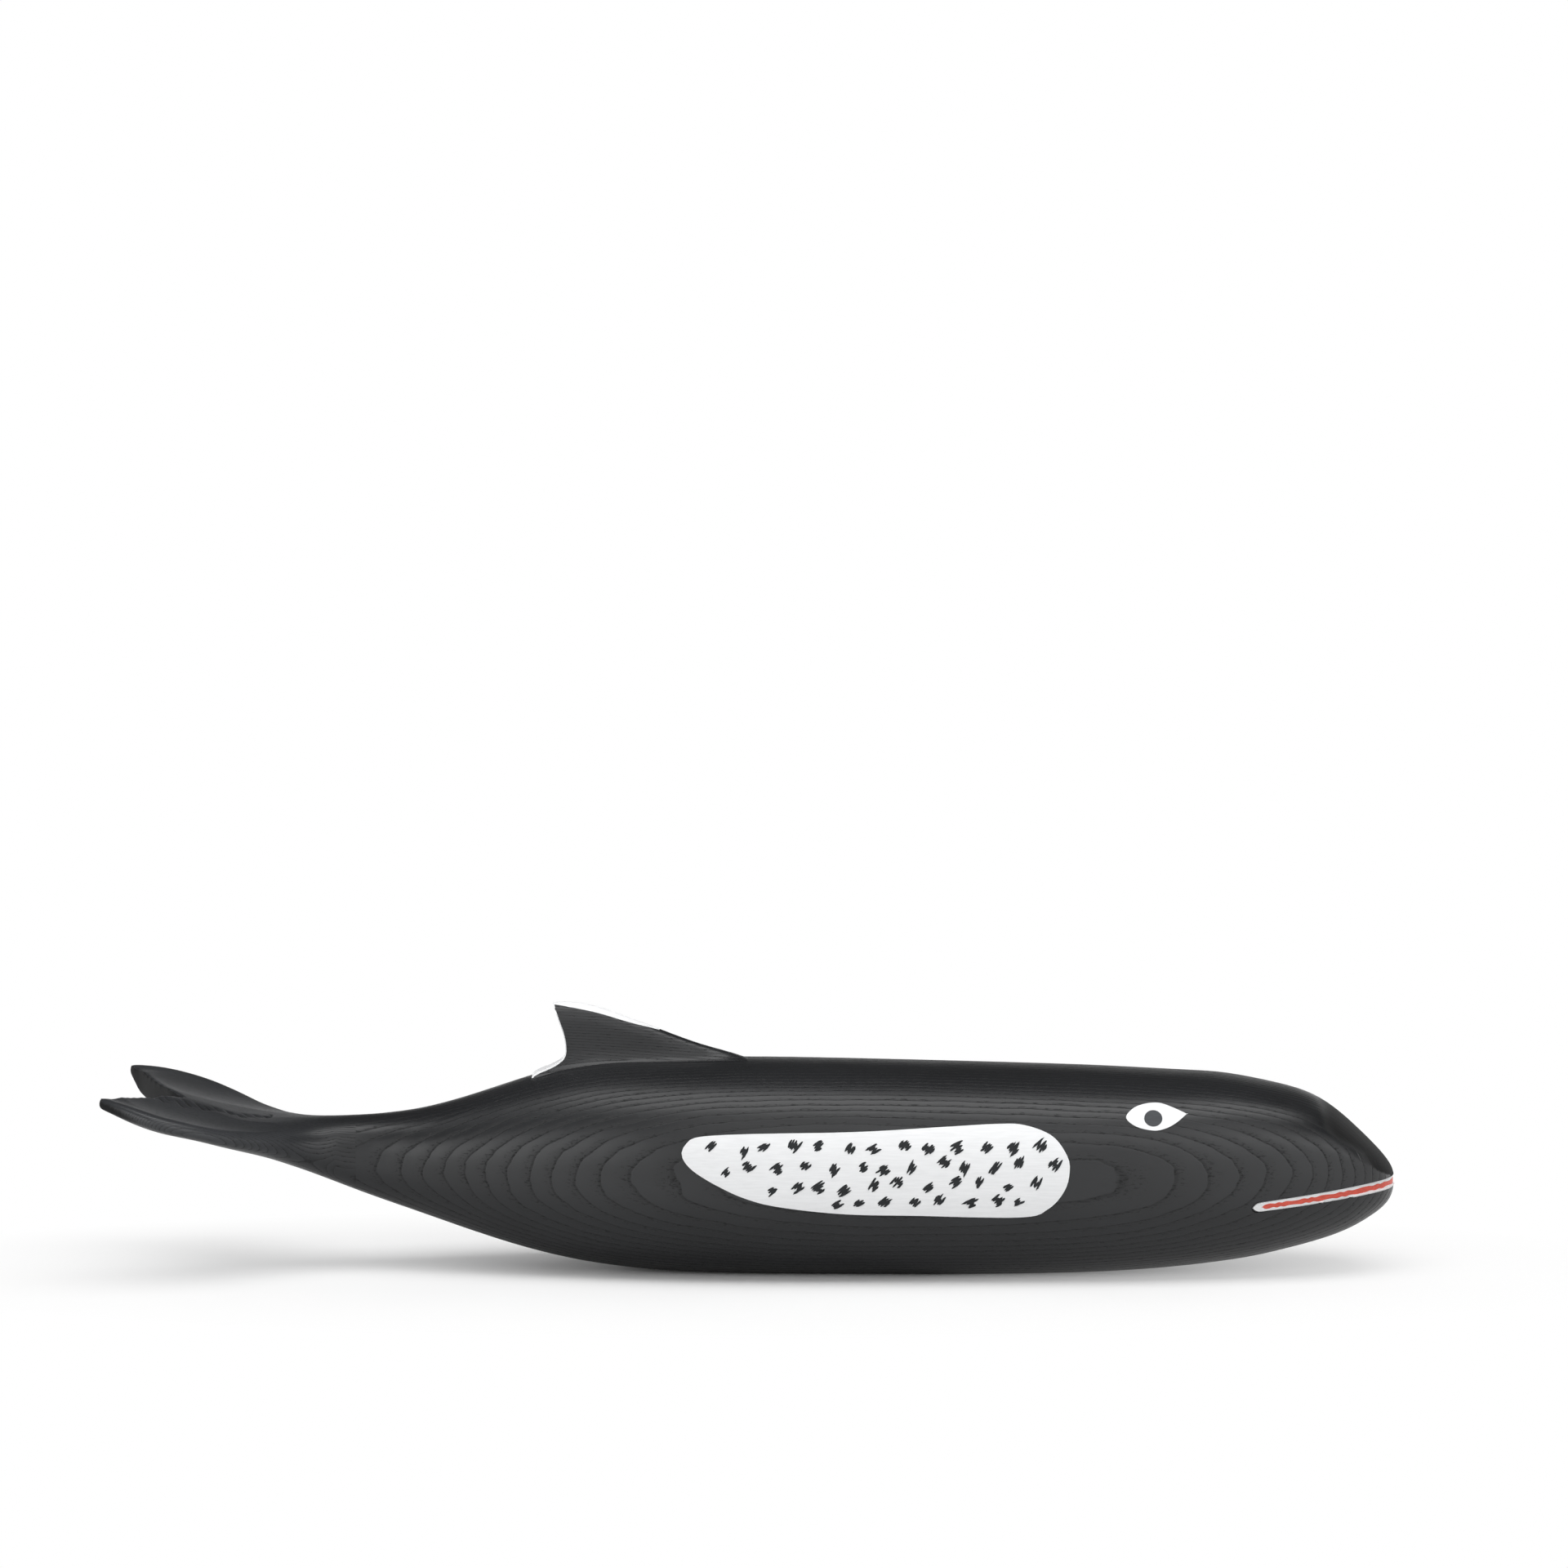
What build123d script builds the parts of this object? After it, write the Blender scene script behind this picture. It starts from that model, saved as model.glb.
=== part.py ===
"""Carved whale figurine of ebonised ash, resting on its belly with the snout along +X.

Three upright boards are glued side by side and cross-doweled, then carved to the body's form.
The dorsal fin and the tail fluke are separate blocks, doweled on and carved to meet the body.
"""

import os
from math import cos, pi, sin, sqrt

from build123d import *

# Overall sizes in millimetres
length = 630
body_width = 114
body_height = 104
fin_rise = 28
fluke_spread = 158

# Centre board, and the plane where the tail block meets it
centre_board_thickness = 38
tail_joint_share = 0.190

# Fits and tool travel
dowel_clearance = 0.1
dowel_end_gap = 0.8
cut_overrun = 20

# Cross dowels through the three boards, placed as (along, height) shares
board_dowel_diameter = 10
board_dowel_bite = 18
board_dowel_shares = [(0.415, 0.42), (0.53, 0.62), (0.66, 0.36), (0.79, 0.60)]

# Upright dowels of the dorsal fin
fin_dowel_diameter = 6
fin_dowel_in_fin = 10
fin_dowel_in_board = 22
fin_dowel_shares = [0.372, 0.418]

# Level dowels of the tail fluke, side by side
tail_dowel_diameter = 8
tail_dowel_bite = 24
tail_dowel_spacing = 16
tail_dowel_height_share = 0.605

# Dorsal fin: thin top edge, thicker root, and a foot that flares into the back
fin_edge_thickness = 6.4
fin_root_thickness = 14.4
fin_foot_width = 26
fin_bury = 6
fin_foot_sink = 1
fin_tip_share = 0.344
fin_toe_share = 0.494

# Top edge of the fin as (tip to toe, height above the back) shares
fin_top_shares = [
    (-0.26, 1.0), (0.0, 1.0), (0.09, 1.0), (0.17, 0.965), (0.31, 0.825), (0.43, 0.675),
    (0.52, 0.565), (0.70, 0.335), (0.86, 0.165), (0.97, 0.05), (1.08, -0.14),
]
# Hollow rear edge of the fin, from above its tip down to its heel on the back
fin_rear_shares = [
    (-0.026, 1.14), (-0.015, 1.06), (-0.005, 0.98), (0.013, 0.81), (0.036, 0.60), (0.054, 0.40),
    (0.061, 0.21), (0.055, 0.06), (0.017, -0.06), (-0.05, -0.168), (-0.098, -0.243), (-0.116, -0.30),
    (-0.124, -0.42), (-0.13, -0.70),
]
# Outline across the fin as (thickness from edge to root, height) shares
fin_blade_shares = [(1.0, 0.07), (0.55, 0.45), (0.0, 0.92)]
fin_foot_share = 0.74

# Plan of one lobe as (along, half spread) shares: outer edge, tip, swept rear edge and notch
lobe_plan_shares = [
    (0.030, 1.16), (0.012, 0.96), (0.0035, 0.845), (0.0, 0.775), (0.003, 0.715), (0.009, 0.64),
    (0.0165, 0.52), (0.026, 0.36), (0.0365, 0.20), (0.047, 0.065),
]
notch_share = 0.0525

# Shallow dish in the top of each lobe
dish_length = 70
dish_width = 56
dish_depth = 1.4
dish_cap_share = 0.2
dish_along_share = 0.056
dish_off_centre_share = 0.53
dish_top_share = 0.815
dish_tilt = 16.5

# Groove of the mouth: its middle line as (along, height) shares
mouth_height = 5.4
mouth_depth = 1.2
mouth_line_shares = [(0.887, 0.361), (0.925, 0.387), (0.971, 0.417), (1.0, 0.432)]
mouth_core_from_share = 0.80

# Carved form from tail to snout, one row for each cross section:
# (along, half width, top, bottom, widest level, roundness above, roundness below, crown).
# Heights are shares of the body height. The crown lowers the shoulders below the top.
# Widths are shares of half the fluke spread here.
fluke_form_shares = [
    (-0.008, 0.740, 0.892, 0.874, 0.884, 4.0, 2.6, 0.0),
    (0.009, 0.862, 0.889, 0.808, 0.857, 5.5, 3.2, 0.0),
    (0.022, 0.925, 0.874, 0.780, 0.838, 6.0, 3.6, 0.0),
    (0.036, 0.975, 0.852, 0.756, 0.814, 6.0, 4.0, 0.0),
    (0.051, 0.995, 0.824, 0.731, 0.788, 6.0, 4.0, 0.0),
    (0.072, 0.935, 0.787, 0.688, 0.754, 5.5, 3.4, 0.0),
    (0.091, 0.830, 0.753, 0.636, 0.718, 4.6, 2.8, 0.0),
    (0.108, 0.695, 0.731, 0.588, 0.684, 3.6, 2.4, 0.0),
    (0.126, 0.540, 0.722, 0.540, 0.652, 3.0, 2.2, 0.0),
    (0.145, 0.380, 0.721, 0.490, 0.616, 2.6, 2.3, 0.0),
]
# Widths are shares of half the body width here
body_form_shares = [
    (0.166, 0.360, 0.724, 0.436, 0.586, 2.5, 2.4, 0.0),
    (0.190, 0.308, 0.730, 0.378, 0.557, 2.6, 2.5, 0.0),
    (0.238, 0.395, 0.762, 0.274, 0.526, 2.5, 2.4, 0.0),
    (0.302, 0.588, 0.872, 0.143, 0.516, 2.4, 2.4, 0.0),
    (0.366, 0.760, 0.978, 0.047, 0.514, 2.4, 2.4, 0.0),
    (0.430, 0.895, 0.998, 0.004, 0.514, 2.5, 2.4, 0.0),
    (0.494, 0.968, 1.000, -0.009, 0.514, 2.5, 2.4, 0.0),
    (0.590, 1.000, 0.990, -0.012, 0.514, 2.5, 2.4, 0.0),
    (0.718, 1.000, 0.969, -0.010, 0.514, 2.5, 2.4, 0.0),
    (0.782, 0.986, 0.953, 0.002, 0.514, 2.6, 2.4, 0.0),
    (0.838, 0.926, 0.934, 0.028, 0.514, 2.8, 2.4, 0.004),
    (0.868, 0.878, 0.921, 0.050, 0.514, 3.1, 2.4, 0.014),
    (0.892, 0.833, 0.897, 0.074, 0.512, 3.6, 2.4, 0.030),
    (0.913, 0.786, 0.871, 0.103, 0.509, 4.2, 2.4, 0.046),
    (0.942, 0.693, 0.812, 0.148, 0.499, 4.8, 2.3, 0.060),
    (0.964, 0.579, 0.717, 0.197, 0.485, 4.8, 2.3, 0.062),
    (0.980, 0.456, 0.626, 0.248, 0.465, 4.4, 2.2, 0.052),
    (0.991, 0.330, 0.556, 0.296, 0.449, 3.6, 2.2, 0.034),
    (0.997, 0.210, 0.508, 0.338, 0.438, 2.9, 2.2, 0.014),
    (1.000, 0.090, 0.466, 0.392, 0.434, 2.4, 2.2, 0.0),
]
steps_per_quarter = 6


def along(share):
    """X of a point that lies this share of the length from the tips of the tail."""
    return (share - 0.5) * length


def height(share):
    """Z of a point that lies this share of the body height above the floor."""
    return share * body_height


def half_spread(share):
    """Y of a point that lies this share of the way from the middle to the widest lobe."""
    return share * fluke_spread / 2


def cross_plane(x):
    """Plane across the body at x, with its own axes along the body's width and height."""
    return Plane(origin=(x, 0, 0), x_dir=(0, 1, 0), z_dir=(1, 0, 0))


def carved_section(half_width, top, bottom, level, round_above, round_below, crown):
    """Points round a carved section: two half superellipses that meet at the widest level."""
    points = []
    for step in range(4 * steps_per_quarter):
        angle = step * pi / (2 * steps_per_quarter) - pi / 2
        across, rise = cos(angle), sin(angle)
        power = round_above if rise > 0 else round_below
        reach = top - level if rise > 0 else level - bottom
        swell = (abs(across) ** power + abs(rise) ** power) ** (-1 / power)
        droop = crown * (swell * across) ** 2 * max(swell * rise, 0)
        points.append((half_width * swell * across, level + reach * swell * rise - droop))
    return points


def form_stations(rows, full_width, inset=0):
    """Cross sections as (x, points), drawn in from the sides and the snout by the inset."""
    stations = []
    for share, half_share, top, bottom, level, round_above, round_below, crown in rows:
        half_width = half_share * full_width / 2 - inset
        points = carved_section(half_width, height(top), height(bottom), height(level),
                                round_above, round_below, height(crown))
        stations.append((along(share) - inset, points))
    return stations


def crest(x):
    """Height of the back at x, on straight lines between the form's rows."""
    rows = fluke_form_shares + body_form_shares
    for rear, front in zip(rows, rows[1:]):
        if x <= along(front[0]):
            part_way = (x - along(rear[0])) / (along(front[0]) - along(rear[0]))
            return height(rear[2] + part_way * (front[2] - rear[2]))
    return height(rows[-1][2])


def fin_x(share):
    """X of a point this share of the way from the fin's tip to its toe."""
    return along(fin_tip_share + share * (fin_toe_share - fin_tip_share))


def fin_z(share):
    """Z of a point this share of the fin's rise above the top of the back."""
    return body_height + share * fin_rise


def fin_outline(x, top):
    """Points across the fin at x, from one buried foot over the top edge to the other."""
    back = crest(x)
    half_edge, half_root = fin_edge_thickness / 2, fin_root_thickness / 2
    half_foot = fin_foot_width / 2
    side = [(half_foot, back - fin_bury), (half_foot * fin_foot_share, back - fin_foot_sink)]
    for thick, rise in fin_blade_shares:
        side.append((half_edge + thick * (half_root - half_edge), back + rise * (top - back)))
    return side + [(0, top)] + [(-y, z) for y, z in reversed(side)]


# Whole carved form with its flat belly, before it is cut into pieces
with BuildPart() as whale_form:
    tail_stations = form_stations(fluke_form_shares, fluke_spread)
    for x, points in tail_stations + form_stations(body_form_shares, body_width):
        with BuildSketch(cross_plane(x)):
            with BuildLine():
                Spline(*points, periodic=True)
            make_face()
    loft()
    split(bisect_by=Plane.XY, keep=Keep.TOP)

# Core of the head that the groove of the mouth is cut down to
with BuildPart() as mouth_core:
    head_rows = [row for row in body_form_shares if row[0] > mouth_core_from_share]
    for x, points in form_stations(head_rows, body_width, inset=mouth_depth):
        with BuildSketch(cross_plane(x)):
            with BuildLine():
                Spline(*points, periodic=True)
            make_face()
    loft()

# Band of the mouth right across the head, less the core
with BuildPart() as mouth_tool:
    with BuildSketch(Plane.XZ):
        with BuildLine():
            lip = [(along(share), height(level)) for share, level in mouth_line_shares]
            upper = Spline(*[(x, z + mouth_height / 2) for x, z in lip])
            lower = Spline(*[(x, z - mouth_height / 2) for x, z in lip])
            ThreePointArc(upper @ 0, (lip[0][0] - mouth_height / 2, lip[0][1]), lower @ 0)
            ahead = lip[-1][0] + cut_overrun
            Polyline(upper @ 1, (ahead, (upper @ 1).Y), (ahead, (lower @ 1).Y), lower @ 1)
        make_face()
    extrude(amount=body_width, both=True)
    add(mouth_core.part, mode=Mode.SUBTRACT)

board_side = Plane(origin=(0, centre_board_thickness / 2, 0), z_dir=(0, 1, 0))
other_side = Plane(origin=(0, -centre_board_thickness / 2, 0), z_dir=(0, 1, 0))
tail_joint = Plane(origin=(along(tail_joint_share), 0, 0), z_dir=(1, 0, 0))

board_dowel_places = [(along(share), 0, height(level)) for share, level in board_dowel_shares]
board_dowel_length = centre_board_thickness + 2 * board_dowel_bite
tail_dowel_places = [
    (along(tail_joint_share), side * tail_dowel_spacing / 2, height(tail_dowel_height_share))
    for side in (-1, 1)
]
fin_dowel_length = fin_dowel_in_fin + fin_dowel_in_board
fin_dowel_places = [
    (along(share), 0, crest(along(share)) + (fin_dowel_in_fin - fin_dowel_in_board) / 2)
    for share in fin_dowel_shares
]

# Holes for the cross dowels, cut in all three boards
with BuildPart() as board_dowel_holes:
    with Locations(*board_dowel_places):
        Cylinder(board_dowel_diameter / 2 + dowel_clearance, board_dowel_length + 2 * dowel_end_gap,
                 rotation=(90, 0, 0))

# Holes for the fin's dowels, cut in the fin and the centre board
with BuildPart() as fin_dowel_holes:
    with Locations(*fin_dowel_places):
        Cylinder(fin_dowel_diameter / 2 + dowel_clearance, fin_dowel_length + 2 * dowel_end_gap)

# Holes for the tail's dowels, cut in the tail and the centre board
with BuildPart() as tail_dowel_holes:
    with Locations(*tail_dowel_places):
        Cylinder(tail_dowel_diameter / 2 + dowel_clearance, 2 * (tail_dowel_bite + dowel_end_gap),
                 rotation=(0, 90, 0))

# Centre board, from the tail joint to the snout
with BuildPart() as centre_board:
    add(whale_form.part)
    split(bisect_by=board_side, keep=Keep.BOTTOM)
    split(bisect_by=other_side, keep=Keep.TOP)
    split(bisect_by=tail_joint, keep=Keep.TOP)
    add(mouth_tool.part, mode=Mode.SUBTRACT)
    add(board_dowel_holes.part, mode=Mode.SUBTRACT)
    add(fin_dowel_holes.part, mode=Mode.SUBTRACT)
    add(tail_dowel_holes.part, mode=Mode.SUBTRACT)

# Left board, glued to the centre board's left face
with BuildPart() as left_board:
    add(whale_form.part)
    split(bisect_by=board_side, keep=Keep.TOP)
    split(bisect_by=tail_joint, keep=Keep.TOP)
    add(mouth_tool.part, mode=Mode.SUBTRACT)
    add(board_dowel_holes.part, mode=Mode.SUBTRACT)

# Right board, the left one's mirror image
with BuildPart() as right_board:
    mirror(left_board.part, about=Plane.XZ)

# Cross dowels through the boards
with BuildPart() as board_dowels:
    with Locations(*board_dowel_places):
        Cylinder(board_dowel_diameter / 2, board_dowel_length, rotation=(90, 0, 0))

# Dorsal fin, hollowed at its rear edge and seated on the carved back
with BuildPart() as dorsal_fin:
    for share, rise in fin_top_shares:
        with BuildSketch(cross_plane(fin_x(share))):
            with BuildLine():
                over = Spline(*fin_outline(fin_x(share), fin_z(rise)))
                Line(over @ 1, over @ 0)
            make_face()
    loft()
    with BuildSketch(Plane.XZ):
        with BuildLine():
            rear = Spline(*[(fin_x(share), fin_z(rise)) for share, rise in fin_rear_shares])
            behind = (rear @ 1).X - cut_overrun
            above = fin_z(1) + cut_overrun
            Polyline(rear @ 1, (behind, (rear @ 1).Y), (behind, above), ((rear @ 0).X, above), rear @ 0)
        make_face()
    extrude(amount=fin_foot_width, both=True, mode=Mode.SUBTRACT)
    add(whale_form.part, mode=Mode.SUBTRACT)
    add(fin_dowel_holes.part, mode=Mode.SUBTRACT)

# Dowels of the dorsal fin
with BuildPart() as fin_dowels:
    with Locations(*fin_dowel_places):
        Cylinder(fin_dowel_diameter / 2, fin_dowel_length)

# Tool that hollows the top of a lobe
with BuildPart() as dish_tool:
    cap_reach_share = sqrt(2 * dish_cap_share - dish_cap_share ** 2)
    dish_rise = dish_depth / dish_cap_share
    Sphere(1)
    scale(by=(dish_length / 2 / cap_reach_share, dish_width / 2 / cap_reach_share, dish_rise))

# Tail fluke, cut to its two lobes and notch and dished on top
with BuildPart() as tail_fluke:
    add(whale_form.part)
    split(bisect_by=tail_joint, keep=Keep.BOTTOM)
    with BuildSketch(Plane.XY):
        with BuildLine():
            lobe = [(along(share), half_spread(spread)) for share, spread in lobe_plan_shares]
            other_lobe = [(x, -y) for x, y in reversed(lobe)]
            rim = Spline(*lobe, (along(notch_share), 0), *other_lobe)
            ahead = along(tail_joint_share) + cut_overrun
            wide = half_spread(1) + cut_overrun
            start = (rim @ 0).X
            Polyline(rim @ 1, (start, -wide), (ahead, -wide), (ahead, wide), (start, wide), rim @ 0)
        make_face()
    extrude(amount=body_height, mode=Mode.INTERSECT)
    dish_places = [
        (along(dish_along_share), half_spread(side * dish_off_centre_share),
         height(dish_top_share) + dish_rise - dish_depth) for side in (-1, 1)
    ]
    with Locations(*[Location(place, (0, dish_tilt, 0)) for place in dish_places]):
        add(dish_tool.part, mode=Mode.SUBTRACT)
    add(tail_dowel_holes.part, mode=Mode.SUBTRACT)

# Dowels of the tail fluke
with BuildPart() as tail_dowels:
    with Locations(*tail_dowel_places):
        Cylinder(tail_dowel_diameter / 2, 2 * tail_dowel_bite, rotation=(0, 90, 0))

os.makedirs("parts", exist_ok=True)

centre_board.part.label = "centre_board"
export_step(centre_board.part, "parts/centre_board.step")
left_board.part.label = "left_board"
export_step(left_board.part, "parts/left_board.step")
right_board.part.label = "right_board"
export_step(right_board.part, "parts/right_board.step")
board_dowels.part.label = "board_dowels"
export_step(board_dowels.part, "parts/board_dowels.step")
dorsal_fin.part.label = "dorsal_fin"
export_step(dorsal_fin.part, "parts/dorsal_fin.step")
fin_dowels.part.label = "fin_dowels"
export_step(fin_dowels.part, "parts/fin_dowels.step")
tail_fluke.part.label = "tail_fluke"
export_step(tail_fluke.part, "parts/tail_fluke.step")
tail_dowels.part.label = "tail_dowels"
export_step(tail_dowels.part, "parts/tail_dowels.step")
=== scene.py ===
"""Dresses the carved whale: ebonised ash, hand-painted marks, and a plain studio stage."""

from math import cos, pi, radians, sin

import bmesh
import bpy
from bpy.props import FloatProperty, PointerProperty, StringProperty
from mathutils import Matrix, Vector


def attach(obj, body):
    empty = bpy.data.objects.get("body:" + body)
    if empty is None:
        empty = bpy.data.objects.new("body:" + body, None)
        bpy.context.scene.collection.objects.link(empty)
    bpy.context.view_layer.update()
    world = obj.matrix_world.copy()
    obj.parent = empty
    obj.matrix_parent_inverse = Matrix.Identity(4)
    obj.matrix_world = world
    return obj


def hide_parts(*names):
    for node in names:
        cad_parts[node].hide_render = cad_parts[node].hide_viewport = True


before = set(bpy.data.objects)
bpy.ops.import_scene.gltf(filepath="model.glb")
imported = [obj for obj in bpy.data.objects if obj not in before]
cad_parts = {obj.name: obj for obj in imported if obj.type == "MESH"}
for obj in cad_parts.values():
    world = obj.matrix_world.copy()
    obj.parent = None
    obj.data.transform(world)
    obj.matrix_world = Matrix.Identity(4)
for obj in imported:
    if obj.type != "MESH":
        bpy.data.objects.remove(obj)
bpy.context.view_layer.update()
MM = 0.001

bl_info = {
    "name": "Carved whale figurine",
    "version": (1, 0, 0),
    "blender": (4, 5, 0),
    "location": "View3D > Sidebar > Whale",
    "description": "Stains the carved whale and lays its painted marks on the wood",
    "category": "Object",
}

BOARDS = ("centre_board", "left_board", "right_board")
CARVED = BOARDS + ("dorsal_fin", "tail_fluke")
DOWELS = ("board_dowels", "fin_dowels", "tail_dowels")
FLANKS = (("right", -1), ("left", 1))

# Painted outlines as (x, z) in millimetres on the flank, drawn round from the rear end
PATCH_OUTLINE = [(-34.8, 65.0), (-32.2, 69.8), (-26.0, 72.8), (-1.0, 74.4), (51.0, 75.6), (91.0, 77.8),
                 (118.0, 79.2), (131.0, 78.6), (144.0, 73.8), (151.0, 65.0), (152.6, 57.5), (150.2, 47.5),
                 (142.3, 38.4), (129.0, 34.2), (78.0, 35.0), (43.0, 35.8), (12.0, 39.2), (-4.0, 43.2),
                 (-17.0, 49.0), (-27.6, 55.2), (-33.0, 60.2)]
PATCH_SPINE = [(-20.0, 63.5), (124.0, 57.0)]
EYE_OUTLINE = [(180.2, 82.5), (184.4, 86.2), (190.8, 87.9), (197.1, 87.9), (203.4, 85.9), (209.7, 83.2),
               (209.7, 83.2), (204.3, 79.2), (198.9, 76.7), (193.5, 75.9), (186.3, 77.3), (181.7, 79.8)]
EYE_SPINE = [(188.5, 82.2), (201.0, 82.6)]
PUPIL_MIDDLE = (193.3, 81.3)

# Middle line of the mouth as (x, z), and the middle that its rays fan out from
MOUTH_LINE = [(243.8, 37.5), (267.8, 40.2), (296.7, 43.4), (315.0, 44.9)]
MOUTH_MIDDLE_X = 246.0

# Rim of the dorsal fin as (x, z, turn-down of the stripe), from the heel over the tip and along the top edge
FIN_RIM = [(-109.1, 95.9, 0.2), (-107.5, 97.2, 0.2), (-103.0, 99.3, 0.2), (-98.6, 101.3, 0.2), (-96.0, 102.8, 0.1),
           (-93.6, 105.2, 0.0), (-92.5, 109.9, 0.0), (-93.2, 115.2, 0.0), (-94.9, 120.8, 0.0), (-97.0, 126.7, 0.0),
           (-98.2, 129.8, 0.0), (-98.9, 131.9, 0.3), (-97.0, 132.1, 0.8), (-94.0, 132.1, 1.3), (-89.8, 132.0, 1.9),
           (-82.2, 131.0, 2.3), (-69.0, 127.1, 1.9), (-57.6, 122.9, 1.1), (-51.0, 120.5, 0.4), (-46.5, 118.8, 0.0)]

# Gouge marks across the middle of the fluke: ends of their line as (x, y)
GOUGE_LINE = [(-296.0, -22.0), (-238.0, -2.0)]


def linear(hex_colour):
    """Turns an sRGB hex colour into the linear values that shaders take."""
    channels = [int(hex_colour[i:i + 2], 16) / 255 for i in (1, 3, 5)]
    return tuple(c / 12.92 if c <= 0.04045 else ((c + 0.055) / 1.055) ** 2.4 for c in channels) + (1.0,)


class WhaleSizes(bpy.types.PropertyGroup):
    """Sizes of the grain and of the painted marks."""

    ring_spacing: FloatProperty(name="Ring spacing", description="Distance between growth rings",
                                default=4 * MM, min=1 * MM, unit="LENGTH")
    film: FloatProperty(name="Paint film", description="Thickness of a coat of paint",
                        default=0.2 * MM, min=0.05 * MM, unit="LENGTH")
    dab_spacing: FloatProperty(name="Dab spacing", description="Distance between the brush dabs of a row",
                               default=13 * MM, min=6 * MM, unit="LENGTH")
    dab_rows: FloatProperty(name="Dab row spacing", description="Distance between the rows of dabs",
                            default=9.2 * MM, min=5 * MM, unit="LENGTH")
    dab_size: FloatProperty(name="Dab size", description="Length of one brush dab",
                            default=5.6 * MM, min=2 * MM, unit="LENGTH")
    pupil: FloatProperty(name="Pupil", description="Width of the pupil",
                         default=8.8 * MM, min=3 * MM, unit="LENGTH")
    lip_band: FloatProperty(name="Lip band", description="Height of the white band in the mouth",
                            default=5.2 * MM, min=2 * MM, unit="LENGTH")
    lip_core: FloatProperty(name="Lip core", description="Height of the red line in the mouth",
                            default=2.4 * MM, min=1 * MM, unit="LENGTH")
    lip_fill: FloatProperty(name="Lip fill", description="How far white paint fills the groove of the mouth",
                            default=0.8 * MM, min=0.1 * MM, unit="LENGTH")
    eased_edge: FloatProperty(name="Eased edge", description="Grain of the mesh that rounds the fluke's tips",
                              default=0.75 * MM, min=0.5 * MM, unit="LENGTH")
    gouge_pitch: FloatProperty(name="Gouge pitch", description="Distance between gouge marks on the fluke",
                               default=5.4 * MM, min=3 * MM, unit="LENGTH")
    gouge_depth: FloatProperty(name="Gouge depth", description="Depth of a gouge mark",
                               default=1.7 * MM, min=0.0, unit="LENGTH")
    gouge_reach: FloatProperty(name="Gouge reach", description="Half the length of a gouge mark",
                               default=7 * MM, min=1 * MM, unit="LENGTH")


class WhaleColours(bpy.types.PropertyGroup):
    """Colours of the stain and the paints, as sRGB hex values."""

    stain: StringProperty(name="Stain", description="Ebonised ash between the rings", default="#202123")
    ring: StringProperty(name="Ring", description="Open pores along each growth ring", default="#0A0B0C")
    white: StringProperty(name="White paint", description="Patches, eyes, lips and fin edge", default="#EDEEEF")
    dab: StringProperty(name="Dab paint", description="Thin black brushed over white", default="#2C2E30")
    pupil: StringProperty(name="Pupil paint", description="Grey of the pupils", default="#4A4C4F")
    red: StringProperty(name="Red paint", description="Line along the mouth", default="#DC5F50")
    dowel: StringProperty(name="Dowel", description="Plain beech of the dowels", default="#C7A27A")


def add_node(tree, kind, settings=None, inputs=None, links=None):
    """Adds a node, sets its options and sockets, and links other sockets into it."""
    node = tree.nodes.new(kind)
    for option, value in (settings or {}).items():
        setattr(node, option, value)
    for socket, value in (inputs or {}).items():
        node.inputs[socket].default_value = value
    for socket, source in (links or {}).items():
        tree.links.new(source, node.inputs[socket])
    return node


def new_material(name):
    """Empty node material with an output, as (material, tree, output)."""
    material = bpy.data.materials.new(name)
    material.use_nodes = True
    tree = material.node_tree
    tree.nodes.clear()
    return material, tree, add_node(tree, "ShaderNodeOutputMaterial")


def deselect():
    """Leaves edit mode and selects nothing, so that operators act only on what comes next."""
    if bpy.context.object and bpy.context.object.mode != "OBJECT":
        bpy.ops.object.mode_set(mode="OBJECT")
    bpy.ops.object.select_all(action="DESELECT")


def only(piece):
    """Selects one object alone and makes it active."""
    deselect()
    piece.select_set(True)
    bpy.context.view_layer.objects.active = piece


def wood_guide(*nodes):
    """A welded copy of carved nodes, joined, for paint to be laid on."""
    deselect()
    copies = []
    for node in nodes:
        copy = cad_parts[node].copy()
        copy.data = copy.data.copy()
        copy.parent = None
        bpy.context.scene.collection.objects.link(copy)
        copy.select_set(True)
        copies.append(copy)
    bpy.context.view_layer.objects.active = copies[0]
    bpy.ops.object.join()
    guide = bpy.context.object
    guide.name = "paint_guide"
    bpy.ops.object.mode_set(mode="EDIT")
    bpy.ops.mesh.select_all(action="SELECT")
    bpy.ops.mesh.remove_doubles(threshold=0.002 * MM)
    bpy.ops.object.mode_set(mode="OBJECT")
    return guide


def smooth_loop(points, count):
    """Evenly spread points on a smooth closed curve through given ones."""
    fine, n = [], len(points)
    for i in range(n):
        a, b, c, d = (Vector(points[(i + k) % n]) for k in (-1, 0, 1, 2))
        for step in range(24):
            t = step / 24
            fine.append(0.5 * (2 * b + (c - a) * t + (2 * a - 5 * b + 4 * c - d) * t ** 2
                               + (3 * b - a - 3 * c + d) * t ** 3))
    return spread(fine + [fine[0]], count + 1)[:-1]


def smooth_line(points, count):
    """Evenly spread points on a smooth open curve through given ones."""
    ends = [2 * Vector(points[0]) - Vector(points[1])] + [Vector(p) for p in points]
    ends.append(2 * Vector(points[-1]) - Vector(points[-2]))
    fine = []
    for a, b, c, d in zip(ends, ends[1:], ends[2:], ends[3:]):
        for step in range(24):
            t = step / 24
            fine.append(0.5 * (2 * b + (c - a) * t + (2 * a - 5 * b + 4 * c - d) * t ** 2
                               + (3 * b - a - 3 * c + d) * t ** 3))
    return spread(fine + [Vector(points[-1])], count)


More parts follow.
